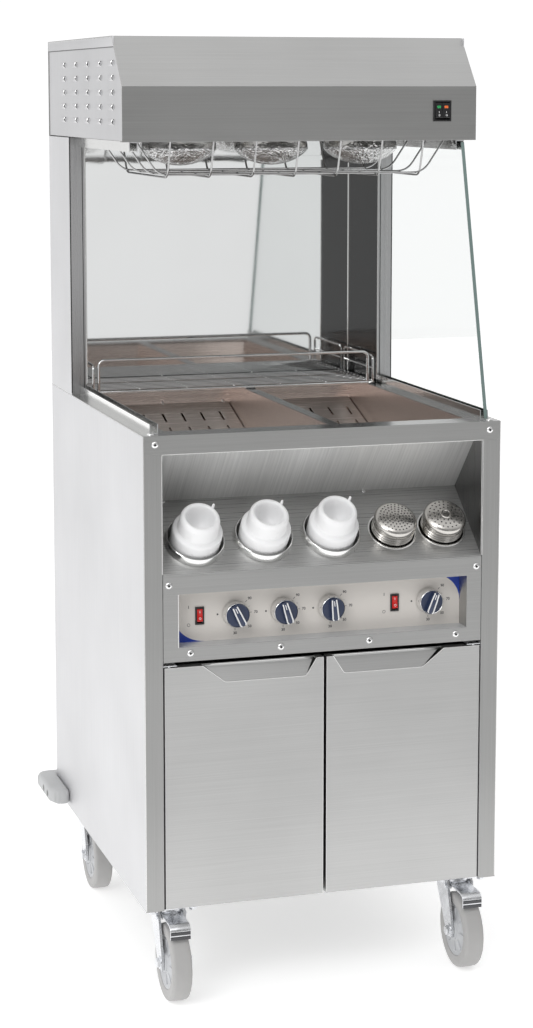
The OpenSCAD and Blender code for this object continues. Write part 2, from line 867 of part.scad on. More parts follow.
caster_fork(-1, swivel_front);  // caster_fork_front_left
caster_fork(1, swivel_front);  // caster_fork_front_right
caster_fork(-1, swivel_rear);  // caster_fork_rear_left
caster_fork(1, swivel_rear);  // caster_fork_rear_right
caster_wheel(-1, swivel_front);  // caster_wheel_front_left
caster_wheel(1, swivel_front);  // caster_wheel_front_right
caster_wheel(-1, swivel_rear);  // caster_wheel_rear_left
caster_wheel(1, swivel_rear);  // caster_wheel_rear_right
brake_pedal(-1);  // brake_pedal_left
brake_pedal(1);  // brake_pedal_right
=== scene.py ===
import math

import bmesh
import bpy
from mathutils import Matrix, Vector


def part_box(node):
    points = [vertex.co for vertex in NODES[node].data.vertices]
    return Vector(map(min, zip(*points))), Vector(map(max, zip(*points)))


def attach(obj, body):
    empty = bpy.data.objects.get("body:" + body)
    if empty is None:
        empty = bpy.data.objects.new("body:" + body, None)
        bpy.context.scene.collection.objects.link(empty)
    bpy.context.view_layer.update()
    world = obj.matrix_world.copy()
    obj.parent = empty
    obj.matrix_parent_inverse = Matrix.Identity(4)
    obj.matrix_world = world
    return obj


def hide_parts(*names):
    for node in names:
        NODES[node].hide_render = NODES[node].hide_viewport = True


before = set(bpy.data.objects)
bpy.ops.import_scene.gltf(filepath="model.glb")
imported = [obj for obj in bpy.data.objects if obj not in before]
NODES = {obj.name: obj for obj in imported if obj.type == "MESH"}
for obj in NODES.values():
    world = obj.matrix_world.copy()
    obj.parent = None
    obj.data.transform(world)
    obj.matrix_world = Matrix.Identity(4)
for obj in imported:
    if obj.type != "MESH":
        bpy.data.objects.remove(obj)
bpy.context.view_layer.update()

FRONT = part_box("deck")[0].y
SHELF_TILT = math.atan2(96, 119)
BOTTLE_X = (-204, -90, 25)
SHAKER_X = (131, 217)
KNOB_X = (-142, -61, 19, 189)
KNOB_TURN = (-26, -17, -5, 21)
KNOB_Z = 627
ROCKER_X = (-201, 130)
ROCKER_PIVOT = 5
ROCKER_TILT = -7
WINDOW_X = 244
WINDOW_Z = (585, 671)
PANEL_D = 33
CORNER_SIZE = (52, 46)
SHELF_FRONT = (2, 704)
BODY_D = 690
DECK_Z = 925
HOOD_D = 122
HOOD_SWITCH = (240, 1425)
RACK_HALF = 262
RACK_D = (514, 676)
RACK_Z = 928
LAMP_X = (-160, 0, 160)
CASTER_X = 250
SWIVEL_D = (58, 615)
TRAIL = 38
AXLE_Z = 62.5
ROOT = "cabinet"


def at(x, d, z):
    """Row-frame point from x, setback behind the front plane and height, in millimetres."""
    return Vector((x / 1000, FRONT + d / 1000, z / 1000))


def facing_front(x, d, z):
    """Local frame on a front face, in millimetres: +X right, +Y up, +Z towards the user."""
    return Matrix.Translation(at(x, d, z)) @ Matrix.Rotation(math.pi / 2, 4, "X") @ Matrix.Scale(0.001, 4)


def on_shelf(x, run=62, rise=0):
    """Local frame on the sloping shelf, in millimetres: +Y up the slope, +Z out of it."""
    return (
        Matrix.Translation(at(x, *SHELF_FRONT))
        @ Matrix.Rotation(SHELF_TILT, 4, "X")
        @ Matrix.Scale(0.001, 4)
        @ Matrix.Translation((0, run, rise))
    )


def upright(x, d, z):
    """Local frame in millimetres with +Z up."""
    return Matrix.Translation(at(x, d, z)) @ Matrix.Scale(0.001, 4)


# ---- materials ----


def new_node(tree, kind, **values):
    """Add a node, setting its inputs by name and its other properties."""
    node = tree.nodes.new(kind)
    for key, value in values.items():
        if key in node.inputs:
            node.inputs[key].default_value = value
        else:
            setattr(node, key, value)
    return node


def set_range(node, start, end, low, high):
    """Map Range node: start..end becomes low..high."""
    for key, value in zip(("From Min", "From Max", "To Min", "To Max"), (start, end, low, high)):
        node.inputs[key].default_value = value


class Graph:
    """A material's node tree, with a Principled BSDF wired to the output."""

    def __init__(self, name):
        self.mat = bpy.data.materials.new(name)
        self.mat.use_nodes = True
        self.tree = self.mat.node_tree
        self.tree.nodes.clear()
        self.out = self.add("ShaderNodeOutputMaterial")
        self.bsdf = self.add("ShaderNodeBsdfPrincipled")
        self.link(self.bsdf, "BSDF", self.out, "Surface")
        self.coords = self.add("ShaderNodeTexCoord")

    def add(self, kind, **values):
        return new_node(self.tree, kind, **values)

    def link(self, a, out, b, into):
        self.tree.links.new(a.outputs[out], b.inputs[into])

    def noise(self, scale=(1, 1, 1), detail=4.0, rough=0.6):
        """Noise over the object's own coordinates, with a scale for each axis."""
        mapping = self.add("ShaderNodeMapping", Scale=scale)
        self.link(self.coords, "Object", mapping, "Vector")
        noise = self.add("ShaderNodeTexNoise", Scale=1.0, Detail=detail, Roughness=rough)
        self.link(mapping, "Vector", noise, "Vector")
        return noise

    def spread(self, source, low, high, into):
        """Map a noise onto low..high for one of the shader's inputs."""
        span = self.add("ShaderNodeMapRange")
        set_range(span, 0.3, 0.7, low, high)
        self.link(source, "Fac", span, "Value")
        self.link(span, "Result", self.bsdf, into)

    def tint(self, source, dark, light, start=0.3, end=0.7, output="Fac"):
        """Colour between two tones, by a noise."""
        ramp = self.add("ShaderNodeValToRGB")
        for stop, position, tone in zip(ramp.color_ramp.elements, (start, end), (dark, light)):
            stop.position = position
            stop.color = (*tone, 1)
        self.link(source, output, ramp, "Fac")
        self.link(ramp, "Color", self.bsdf, "Base Color")

    def bump(self, source, depth, ease=0.0):
        """Bump from a noise, with the edges of the mesh eased in shading by a radius in metres."""
        bump = self.add("ShaderNodeBump", Strength=1.0, Distance=depth)
        self.link(source, "Fac", bump, "Height")
        if ease:
            self.link(self.add("ShaderNodeBevel", Radius=ease, samples=6), "Normal", bump, "Normal")
        self.link(bump, "Normal", self.bsdf, "Normal")

    def set(self, **values):
        for key, value in values.items():
            self.bsdf.inputs[key.replace("_", " ")].default_value = value


def shades(tone, spread):
    """The tone darkened and lightened by a fraction."""
    return tuple(c * (1 - spread) for c in tone), tuple(min(1.0, c * (1 + spread)) for c in tone)


def metal(name, tone, roughness, grain, depth=0.00004, blotch=0.05, tone_spread=0.08, ease=0.0, metallic=1.0):
    """Sheet metal: fine lines in the roughness and bump, with slow blotches added in the tone."""
    g = Graph(name)
    g.set(Metallic=metallic)
    lines = g.noise(grain, 3.0, 0.65)
    g.spread(lines, roughness - blotch, roughness + blotch, "Roughness")
    patches = g.noise((3.1, 3.1, 3.7), 3.0, 0.5)
    part = g.add("ShaderNodeMath", operation="MULTIPLY")
    part.inputs[1].default_value = 0.45
    g.link(patches, "Fac", part, 0)
    mix = g.add("ShaderNodeMath", operation="MULTIPLY_ADD")
    mix.inputs[1].default_value = 0.55
    g.link(lines, "Fac", mix, 0)
    g.link(part, "Value", mix, 2)
    g.tint(mix, *shades(tone, tone_spread), 0.35, 0.65, "Value")
    g.bump(lines, depth, ease)
    return g.mat


def plastic(name, tone, roughness, bump_scale, depth, subsurface=0.0, spread=0.06, coat=0.0):
    """Moulded or printed surface: fine bump, and a tone that drifts slowly."""
    g = Graph(name)
    fine = g.noise((bump_scale,) * 3, 2.0)
    slow = g.noise((9, 9, 9), 3.0)
    g.tint(slow, *shades(tone, spread))
    g.spread(fine, roughness - 0.06, roughness + 0.06, "Roughness")
    g.bump(fine, depth)
    if subsurface:
        g.set(Subsurface_Weight=subsurface, Subsurface_Scale=0.01)
        g.bsdf.inputs["Subsurface Radius"].default_value = (1.0, 1.0, 1.0)
    if coat:
        g.set(Coat_Weight=coat, Coat_Roughness=0.08)
    return g.mat


ALONG_X = (4, 900, 900)
ALONG_Z = (900, 900, 4)

steel_x = metal("steel_brushed_across", (0.43, 0.43, 0.425), 0.34, ALONG_X, ease=0.001)
# Darker copy of the pale side steel, for the front faces of the side panels: painted shade.
steel_post_shaded = metal("steel_front_posts_painted_shade", (0.41, 0.41, 0.405), 0.34, ALONG_Z, ease=0.001)
# Darker copy of the deck steel, for the deck's front faces: painted shade.
steel_rail_shaded = metal("steel_front_rail_painted_shade", (0.40, 0.40, 0.395), 0.33, ALONG_X, ease=0.001)
steel_door = metal("steel_doors", (0.54, 0.54, 0.535), 0.36, ALONG_X, ease=0.001)
steel_screen = metal("steel_drip_screens", (0.60, 0.54, 0.50), 0.24, ALONG_X, ease=0.0008, metallic=0.6)
# Lighter copy of the fascia steel, for the up-facing sill under the window, lifting its shade: painted light.
steel_sill_painted_light = metal("steel_window_sill_painted_light", (0.56, 0.57, 0.58), 0.34, ALONG_X, ease=0.001, metallic=0.3)
steel_pale = metal("steel_side_panels", (0.67, 0.67, 0.68), 0.5, ALONG_Z, depth=0.00002, ease=0.001)
steel_hood = metal("steel_hood", (0.38, 0.38, 0.375), 0.36, ALONG_X, ease=0.0015)
# Lighter copy of the hood steel, for its up-facing slope: painted light.
steel_slope_painted_light = metal("steel_hood_slope_painted_light", (0.55, 0.55, 0.545), 0.36, ALONG_X, ease=0.0015)
steel_cheek = metal("steel_hood_cheeks", (0.60, 0.60, 0.61), 0.42, ALONG_Z, depth=0.00002, ease=0.001)
steel_deck = metal("steel_deck", (0.46, 0.46, 0.455), 0.2, ALONG_X, depth=0.00002, ease=0.0012)
steel_shelf = metal("steel_shelf", (0.40, 0.40, 0.395), 0.3, ALONG_X, depth=0.00002, metallic=0.7)
steel_liner = metal(
    "steel_recess_back", (0.72, 0.72, 0.71), 0.34, (330, 4, 4), depth=0.00009, tone_spread=0.14, metallic=0.5
)
# Dark copy of the shelf steel, for the side walls of the recess: painted shade.
steel_recess = metal("recess_sides_painted_shade", (0.20, 0.20, 0.20), 0.3, (5, 420, 5), depth=0.00002)
# The wells' steel is tinted warm brown: a painted reflection of fries and red fry boxes.
steel_well_painted_reflection = metal("wells_painted_reflection", (0.66, 0.56, 0.51), 0.25, ALONG_X, ease=0.001, metallic=0.75)
steel_dark = metal("steel_inside", (0.40, 0.40, 0.395), 0.42, ALONG_X)
# Darker copy of the pale column steel, for the columns' front and back faces: painted shade.
steel_column_shaded = metal("column_fronts_painted_shade", (0.52, 0.52, 0.525), 0.3, ALONG_Z, ease=0.0015)
# Near-black copy of the column steel, for the columns' inner faces: painted shade.
steel_inner_painted_shade = metal(
    "column_inner_faces_painted_shade", (0.10, 0.10, 0.10), 0.16, ALONG_Z, depth=0.00002, ease=0.0015
)
mirror = metal(
    "steel_mirror_finish", (0.86, 0.87, 0.87), 0.045, (3, 3, 3), depth=0.0, blotch=0.015, tone_spread=0.02
)
chrome = metal("chrome_plate", (0.83, 0.83, 0.83), 0.1, (60, 60, 60), depth=0.0, blotch=0.03, tone_spread=0.03)
polished = metal("steel_polished_edge", (0.84, 0.84, 0.83), 0.16, (120, 120, 120), depth=0.0, tone_spread=0.03)
zinc = metal("zinc_plate", (0.76, 0.77, 0.79), 0.28, (55, 55, 55), depth=0.00003, blotch=0.1, tone_spread=0.16)
guard_wire = metal("guard_wire", (0.42, 0.42, 0.42), 0.18, (80, 80, 80), depth=0.0, tone_spread=0.1)
tab_steel = metal("pedal_tab_steel", (0.09, 0.09, 0.095), 0.15, (60, 60, 60), depth=0.0)
shaker_steel = metal("steel_shaker", (0.62, 0.60, 0.57), 0.2, (900, 900, 60), depth=0.0, blotch=0.04)
tyre = plastic("tyre_grey_rubber", (0.42, 0.415, 0.41), 0.55, 700, 0.00006)
hub = plastic("hub_grey_nylon", (0.52, 0.53, 0.545), 0.42, 500, 0.00003)
bumper = plastic("bumper_grey_plastic", (0.50, 0.505, 0.51), 0.5, 1100, 0.00006)
black = plastic("black_plastic", (0.012, 0.012, 0.013), 0.35, 1200, 0.00002)
navy = plastic("knob_navy", (0.022, 0.036, 0.085), 0.32, 1200, 0.00002, coat=0.3)
beige = plastic("panel_beige_film", (0.72, 0.685, 0.645), 0.42, 1500, 0.00001, spread=0.02)
blue = plastic("panel_blue_print", (0.01, 0.045, 0.36), 0.38, 1500, 0.00001, spread=0.05)
ink = plastic("panel_dark_print", (0.03, 0.03, 0.035), 0.5, 1500, 0.00001)
white_ink = plastic("white_print", (0.8, 0.8, 0.8), 0.45, 1500, 0.00001, spread=0.03)
red = plastic("rocker_red", (0.66, 0.012, 0.01), 0.2, 700, 0.00001, subsurface=0.2, coat=0.6)
green = plastic("rocker_green", (0.02, 0.32, 0.09), 0.2, 700, 0.00001, coat=0.6)
amber = plastic("rocker_amber", (0.8, 0.16, 0.03), 0.2, 700, 0.00001, coat=0.6)
milk = plastic("bottle_polythene", (0.90, 0.90, 0.905), 0.33, 140, 0.0002, subsurface=0.08, spread=0.015)
mica = plastic("heater_mat", (0.45, 0.41, 0.33), 0.7, 400, 0.0001)
ceramic = plastic("socket_ceramic", (0.75, 0.72, 0.66), 0.4, 300, 0.00005)
body_grey = plastic("thermostat_case", (0.16, 0.17, 0.18), 0.5, 800, 0.00004)


def pane(name, tint):
    """Thin clear glass: mostly see-through, with a sheen that grows at grazing angles."""
    g = Graph(name)
    smear = g.noise((2.2, 1.1, 0.6), 4.0)
    g.spread(smear, 0.01, 0.07, "Roughness")
    g.tint(smear, (0.88, 0.90, 0.90), (0.93, 0.95, 0.95))
    g.set(Metallic=1.0)
    clear = g.add("ShaderNodeBsdfTransparent")
    clear.inputs["Color"].default_value = (*tint, 1)
    sheen = g.add("ShaderNodeLayerWeight", Blend=0.2)
    weight = g.add("ShaderNodeMapRange")
    set_range(weight, 0.0, 1.0, 0.0, 0.1)
    g.link(sheen, "Fresnel", weight, "Value")
    mix = g.add("ShaderNodeMixShader")
    g.link(weight, "Result", mix, 0)
    g.tree.links.new(clear.outputs[0], mix.inputs[1])
    g.tree.links.new(g.bsdf.outputs[0], mix.inputs[2])
    g.tree.links.new(mix.outputs[0], g.out.inputs["Surface"])
    return g.mat


side_pane = pane("glass_pane", (0.985, 0.992, 0.990))
pane_edge = plastic("glass_ground_edge", (0.17, 0.23, 0.22), 0.2, 400, 0.00005, coat=0.5)
lamp_face = metal(
    "lamp_ribbed_face", (0.80, 0.80, 0.79), 0.06, (110, 110, 110), depth=0.006, blotch=0.04, tone_spread=0.7
)
reflector = metal("lamp_silvering", (0.92, 0.91, 0.89), 0.1, (55, 55, 55), depth=0.003, blotch=0.05)


# ---- mesh builder ----


def rounded(points, radius, steps=5, closed=False):
    """The path with each corner turned into an arc."""
    count = len(points)
    out = []
    for i, p in enumerate(points):
        if not closed and i in (0, count - 1):
            out.append(Vector(p))
            continue
        a, b, c = Vector(points[i - 1]), Vector(p), Vector(points[(i + 1) % count])
        u, v = (a - b), (c - b)
        r = min(radius, u.length * 0.45, v.length * 0.45)
        start, end = b + u.normalized() * r, b + v.normalized() * r
        for k in range(steps + 1):
            t = k / steps
            out.append(start.lerp(b, t).lerp(b.lerp(end, t), t))
    return out


class Shape:
    """One mesh piece, put together from swept, turned and extruded forms."""

    def __init__(self):
        self.verts, self.faces, self.marks = [], [], []

    def add(self, verts, faces, mat=0):
        base = len(self.verts)
        self.verts += [Vector(v) for v in verts]
        self.faces += [tuple(base + i for i in f) for f in faces]
        self.marks += [mat] * len(faces)
        return self

    def lathe(self, place, profile, mat=0, sides=48, closed=False, ripple=None):
        """Turn (radius, height) points about local Z. Points on the axis close the ends."""
        verts, rings, faces = [], [], []
        for i, (r, h) in enumerate(profile):
            if r < 1e-6:
                rings.append([len(verts)])
                verts.append(place @ Vector((0, 0, h)))
                continue
            ring = []
            for k in range(sides):
                a = 2 * math.pi * k / sides
                rr = r + (ripple(i, a) if ripple else 0)
                ring.append(len(verts))
                verts.append(place @ Vector((rr * math.cos(a), rr * math.sin(a), h)))
            rings.append(ring)
        pairs = list(zip(rings, rings[1:]))
        if closed:
            pairs.append((rings[-1], rings[0]))
        for low, high in pairs:
            for k in range(sides):
                n = (k + 1) % sides
                if len(low) == 1 and len(high) == 1:
                    continue
                if len(low) == 1:
                    faces.append((low[0], high[n], high[k]))
                elif len(high) == 1:
                    faces.append((low[k], low[n], high[0]))
                else:
                    faces.append((low[k], low[n], high[n], high[k]))
        return self.add(verts, faces, mat)

    def tube(self, points, radius, mat=0, sides=10, closed=False):
        """Sweep a circle along a path, keeping it from twisting."""
        pts = [Vector(p) for p in points]
        count = len(pts)
        verts, faces = [], []
        up = None
        for i, p in enumerate(pts):
            if closed:
                way = pts[(i + 1) % count] - pts[i - 1]
            else:
                way = pts[min(i + 1, count - 1)] - pts[max(i - 1, 0)]
            way.normalize()
            if up is None:
                up = Vector((0, 0, 1)) if abs(way.z) < 0.9 else Vector((1, 0, 0))
            across = way.cross(up).normalized()
            up = across.cross(way).normalized()
            for k in range(sides):
                a = 2 * math.pi * k / sides
                verts.append(p + radius * (math.cos(a) * across + math.sin(a) * up))
        last = count if closed else count - 1
        for i in range(last):
            n = (i + 1) % count
            for k in range(sides):
                m = (k + 1) % sides
                faces.append((i * sides + k, i * sides + m, n * sides + m, n * sides + k))
        if not closed:
            faces.append(tuple(range(sides - 1, -1, -1)))
            faces.append(tuple((count - 1) * sides + k for k in range(sides)))
        return self.add(verts, faces, mat)

    @staticmethod
    def ease_edges(bm, size, segments):
        bmesh.ops.bevel(bm, geom=bm.edges[:], offset=size, segments=segments, profile=0.5, affect="EDGES")

    def solid(self, bm, place, mat):
        """Take in a bmesh, and free it."""
        bm.verts.ensure_lookup_table()
        bm.verts.index_update()
        verts = [place @ v.co for v in bm.verts]
        faces = [tuple(v.index for v in f.verts) for f in bm.faces]
        bm.free()
        return self.add(verts, faces, mat)

    def slab(self, place, low, high, mat=0, bevel=0.4, segments=2):
        """Block with eased edges."""
        bm = bmesh.new()
        bmesh.ops.create_cube(bm, size=1)
        for v in bm.verts:
            v.co = Vector([low[i] if v.co[i] < 0 else high[i] for i in range(3)])
        ease = min(bevel, 0.45 * min(high[i] - low[i] for i in range(3)))
        if ease > 0:
            self.ease_edges(bm, ease, segments)
        return self.solid(bm, place, mat)

    def prism(self, place, outline, low, high, mat=0, bevel=0.0, segments=2):
        """Outline in local XY, extruded from low to high along Z."""
        bm = bmesh.new()
        face = bm.faces.new([bm.verts.new((x, y, low)) for x, y in outline])
        face.normal_update()
        top = bmesh.ops.extrude_face_region(bm, geom=[face])
        lifted = [v for v in top["geom"] if isinstance(v, bmesh.types.BMVert)]
        bmesh.ops.translate(bm, verts=lifted, vec=(0, 0, high - low))
        bmesh.ops.recalc_face_normals(bm, faces=bm.faces[:])
        if bevel:
            self.ease_edges(bm, bevel, segments)
        return self.solid(bm, place, mat)

    def make(self, name, mats, body, slot, replaces=(), sharp=35):
        """Build the piece's object, and give it its body and the nodes it replaces. The slot is not used."""
        mesh = bpy.data.meshes.new(name)
        mesh.from_pydata([tuple(v) for v in self.verts], [], self.faces)
        for m in mats if isinstance(mats, (list, tuple)) else [mats]:
            mesh.materials.append(m)
        for poly, mark in zip(mesh.polygons, self.marks):
            poly.material_index = mark
        bm = bmesh.new()
        bm.from_mesh(mesh)
        bmesh.ops.recalc_face_normals(bm, faces=bm.faces[:])
        bm.to_mesh(mesh)
        bm.free()
        mesh.shade_smooth()
        mesh.set_sharp_from_angle(angle=math.radians(sharp))
        obj = bpy.data.objects.new(name, mesh)
        bpy.context.scene.collection.objects.link(obj)
        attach(obj, body)
        if replaces:
            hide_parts(*replaces)
        return obj


# ---- CAD nodes that keep their shape ----

FINISH = {
    "side_panel_left": steel_pale, "side_panel_right": steel_pale, "base_floor": steel_dark,
    "rear_panel": steel_x, "electrics_tray": steel_dark, "deck": steel_deck,
    "well_left": steel_well_painted_reflection, "well_right": steel_well_painted_reflection, "well_heaters": mica,
    "recess_liner": steel_shelf, "holder_cups": polished, "fascia": steel_x,
    "control_panel": beige, "thermostats": body_grey, "switch_bezels": black,
    "hinge_brackets": zinc, "column_left": steel_pale, "column_right": steel_pale,
    "mirror_panel": mirror, "hood_shell": steel_hood, "hood_cheeks": steel_cheek,
    "lamp_tray": steel_x, "lamp_sockets": ceramic, "heat_lamps": reflector,
    "lamp_guard": zinc, "side_glass": side_pane, "glass_channels": polished,
    "corner_bumpers": bumper, "screws": chrome, "caster_plates": zinc,
    "cable_gland": black, "fry_rack": chrome, "screen_left": steel_screen,
    "screen_right": steel_screen, "door_left": steel_door, "door_right": steel_door,
    "shaker_1": shaker_steel, "shaker_2": shaker_steel,
    "panel_rocker_left": red, "panel_rocker_right": red,
    "hood_rocker_left": black, "hood_rocker_right": black,
}
for name, obj in NODES.items():
    if name in FINISH:
        finish = FINISH[name]
    elif name.startswith("bottle"):
        finish = milk
    elif name.startswith("knob"):
        finish = navy
    elif name.startswith("caster_wheel"):
        finish = tyre
    else:
        finish = zinc
    obj.data.materials.clear()
    obj.data.materials.append(finish)


def faces_get(name, finish, test):
    """Give a second material to the faces of a CAD node whose outward normal passes the test. Below, most calls use it
    to give one part a lighter or darker copy of its steel by the way its faces turn: painted light and shade.
    """
    mesh = NODES[name].data
    mesh.materials.append(finish)
    turn = NODES[name].matrix_world.to_3x3()
    for poly in mesh.polygons:
        if test((turn @ poly.normal).normalized()):
            poly.material_index = len(mesh.materials) - 1


for side, s in (("left", -1), ("right", 1)):
    # The side panels' front faces take a darker tone than their sides: painted shade.
    faces_get(f"side_panel_{side}", steel_post_shaded, lambda n: n.y < -0.5)
    # The columns' front and back faces take a darker tone than their outer sides: painted shade.
    faces_get(f"column_{side}", steel_column_shaded, lambda n: abs(n.y) > 0.5)
    # The columns' inner faces are made near black: painted shade.
    faces_get(f"column_{side}", steel_inner_painted_shade, lambda n, s=s: n.x * s < -0.5)
# The deck's front faces take a darker tone than its top: painted shade.
faces_get("deck", steel_rail_shaded, lambda n: n.y < -0.5)
# The fascia's up-facing faces take a lighter tone than its front: painted light.
faces_get("fascia", steel_sill_painted_light, lambda n: n.z > 0.5)
# The hood's up-facing slope takes a lighter tone than the rest of the hood: painted light.
faces_get("hood_shell", steel_slope_painted_light, lambda n: n.z > 0.3 and n.y < -0.3)
faces_get("side_glass", pane_edge, lambda n: n.y < -0.3)
faces_get("glass_channels", steel_pale, lambda n: n.y < -0.5)
faces_get("recess_liner", steel_liner, lambda n: n.z < 0.3)
# The recess side walls are made dark: painted shade.
faces_get("recess_liner", steel_recess, lambda n: abs(n.x) > 0.5)

# ---- knobs and panel print ----

for i, (x, turn) in enumerate(zip(KNOB_X, KNOB_TURN), 1):
    face = facing_front(x, PANEL_D, KNOB_Z) @ Matrix.Rotation(-math.radians(turn), 4, "Z")
    body = f"knob_{i}"
    skirt = Shape().lathe(
        face,
        [(0, 1.5), (21.2, 1.5), (21.4, 2.2), (21.0, 9.0), (20.4, 16.6), (20.0, 17.6), (19.3, 18.1), (18.7, 17.6),
         (18.6, 15.5), (0, 15.5)],
        sides=64,
    )
    skirt.make(f"knob_{i}_skirt", chrome, body, "polished_steel")
    cap = Shape().lathe(face, [(0, 15), (18.5, 15), (18.5, 17.1), (18.1, 17.5), (0, 17.7)], sides=64)
    cap.lathe(face, [(0, -17), (4, -17), (4, 4), (0, 4)], sides=24)
    half_grip = [(4.2, 17.6), (5.0, 4.0), (5.6, -15.5), (3.9, -18.2)]
    grip = [(-4.2, 17.6)] + half_grip + [(-gx, gy) for gx, gy in half_grip[:0:-1]]
    cap.prism(face, grip, 15, 26.6, bevel=1.3, segments=3)
    cap.make(f"knob_{i}_cap", navy, body, "knob_navy", replaces=[body])
    lines = Shape()
    for s in (-1, 1):
        path = [(s * 3.5, 16.6, 26.7), (s * 4.3, 4.0, 26.7), (s * 4.8, -15.0, 26.7), (s * 3.3, -17.2, 26.7)]
        lines.tube([face @ Vector(p) for p in path], 0.0012, sides=8)
    lines.slab(face, (-0.7, 6, 26.4), (0.7, 14.5, 26.9), bevel=0.15)
    lines.make(f"knob_{i}_lines", white_ink, body, "knob_navy")


def lettering(shape, place, text, size):
    """Raised numerals, in the default font."""
    curve = bpy.data.curves.new("numerals", "FONT")
    curve.body, curve.size, curve.extrude, curve.resolution_u = text, size, 0.05, 3
    curve.offset = 0.12
    curve.align_x = curve.align_y = "CENTER"
    obj = bpy.data.objects.new("numerals", curve)
    bpy.context.scene.collection.objects.link(obj)
    bpy.context.view_layer.update()
    mesh = obj.evaluated_get(bpy.context.evaluated_depsgraph_get()).to_mesh()
    shape.add([place @ v.co for v in mesh.vertices], [tuple(p.vertices) for p in mesh.polygons])
    bpy.data.objects.remove(obj)
    bpy.data.curves.remove(curve)


panel_face = facing_front(0, PANEL_D, 0)
print_marks = Shape()
for x in KNOB_X:
    dial = panel_face @ Matrix.Translation((x, KNOB_Z, 0))
    print_marks.lathe(dial @ Matrix.Translation((-29, 0, 0)), [(0, 0), (1.5, 0), (1.4, 0.15), (0, 0.15)], sides=20)
    for angle, number in ((-90, "30"), (-45, "50"), (0, "70"), (45, "90")):
        spoke = dial @ Matrix.Rotation(math.radians(angle), 4, "Z")
        print_marks.slab(spoke, (24.6, -0.35, 0), (28.2, 0.35, 0.15), bevel=0.04)
        a = math.radians(angle)
        spot = Matrix.Translation((35.0 * math.cos(a), 32.5 * math.sin(a), 0.05))
        lettering(print_marks, dial @ spot, number, 6.2)
    for angle in (-67.5, -22.5, 22.5):
        spoke = dial @ Matrix.Rotation(math.radians(angle), 4, "Z")
        print_marks.slab(spoke, (24.6, -0.2, 0), (26.8, 0.2, 0.15), bevel=0.04)
for x in ROCKER_X:
    mark = panel_face @ Matrix.Translation((x - 18, KNOB_Z, 0))
    print_marks.slab(mark, (-0.5, 12, 0), (0.5, 17, 0.15), bevel=0.05)
    ring = [(2.0, 0), (2.6, 0), (2.6, 0.15), (2.0, 0.15)]
    print_marks.lathe(mark @ Matrix.Translation((0, -14.5, 0)), ring, sides=24, closed=True)
print_marks.make("panel_marks", ink, ROOT, "panel_beige")

corners = Shape()
corner_w, corner_h = CORNER_SIZE
for s, z in zip((-1, 1), WINDOW_Z):
    x = s * WINDOW_X
    arc = [(x, z)]
    for k in range(13):
        a = math.radians(90 * k / 12)
        arc.append((x - s * corner_w + s * corner_w * math.sin(a), z - s * corner_h + s * corner_h * math.cos(a)))
    corners.prism(panel_face, arc, 0, 0.18)
corners.make("panel_corners", blue, ROOT, "knob_navy")

# ---- rockers ----

SIDEWAYS = Matrix(((0, 0, 1, 0), (1, 0, 0, 0), (0, 1, 0, 0), (0, 0, 0, 1)))


def paddle(place, width, height, face):
    """Rocker cap with two hollowed halves that meet on the pivot line."""
    h = height / 2
    outline = [(-h, 0.0), (h, 0.0), (h, face - 0.9), (h - 0.9, face)]
    outline += [(h * (1 - 2 * k / 10), face - 0.9 * math.cos(math.pi * (k - 5) / 10)) for k in range(2, 9)]
    outline += [(-h + 0.9, face), (-h, face - 0.9)]
    return Shape().prism(place @ SIDEWAYS, outline, -width / 2, width / 2, bevel=0.35)


def rocker_frame(x, d, z):
    """Local frame of a rocker on its pivot, at rest with its upper end pressed in."""
    return facing_front(x, d + ROCKER_PIVOT, z) @ Matrix.Rotation(math.radians(ROCKER_TILT), 4, "X")


for side, x in zip(("left", "right"), ROCKER_X):
    place = rocker_frame(x, PANEL_D, KNOB_Z)
    body = f"panel_rocker_{side}"
    paddle(place, 8.9, 20.4, 9).make(f"{body}_cap", red, body, "rocker_red", replaces=[body])
    marks = Shape().slab(place, (-0.45, 3.6, 8.0), (0.45, 7.2, 8.75), bevel=0.1)
    ring = [(1.3, 8.0), (1.9, 8.0), (1.9, 8.75), (1.3, 8.75)]
    marks.lathe(place @ Matrix.Translation((0, -5.2, 0)), ring, sides=20, closed=True)
    marks.make(f"{body}_marks", white_ink, body, "rocker_red")

for side, s, tone, slot in (("left", -1, green, "rocker_green"), ("right", 1, amber, "rocker_amber")):
    place = rocker_frame(HOOD_SWITCH[0] + s * 6.4, HOOD_D, HOOD_SWITCH[1])
    body = f"hood_rocker_{side}"
    paddle(place, 12.3, 24.8, 9).make(f"{body}_cap", black, body, slot, replaces=[body])
    lens = Shape().slab(place, (-3.2, 3.4, 7.6), (3.2, 7.6, 9.2), bevel=0.5, segments=3)
    lens.make(f"{body}_lens", tone, body, slot)
    marks = Shape().slab(place, (-0.4, -4.4, 7.6), (0.4, -1.6, 8.5), bevel=0.1)
    ring = [(1.0, 7.8), (1.5, 7.8), (1.5, 8.8), (1.0, 8.8)]
    marks.lathe(place @ Matrix.Translation((0, -8.2, 0)), ring, sides=16, closed=True)
    marks.make(f"{body}_marks", white_ink, body, slot)

# ---- holders, bottles and shakers ----

cups = Shape()
for x in BOTTLE_X:
    cups.lathe(
        on_shelf(x),
        [(0, -92), (44.6, -92), (46.6, -90), (46.6, -0.5), (50.4, 0.1), (50.2, 1.4), (48.9, 5.2), (47.6, 9.6),
         (46.9, 11.4), (46.1, 11.9), (45.4, 11.4), (45.0, 10.2), (45.0, -88.5), (43, -90.5), (0, -90.5)],
        sides=96,
    )
for x in SHAKER_X:
    cups.lathe(
        on_shelf(x),
        [(0, -62), (37, -62), (39, -60), (39, -0.5), (40.8, 0.1), (40.6, 0.9), (39.2, 1.4), (38.0, 1.2),
         (37.5, 0.2), (37.5, -58.5), (36, -60.5), (0, -60.5)],
        sides=96,
    )
cups.make("holder_cups_turned", polished, ROOT, "polished_steel", replaces=["holder_cups"])

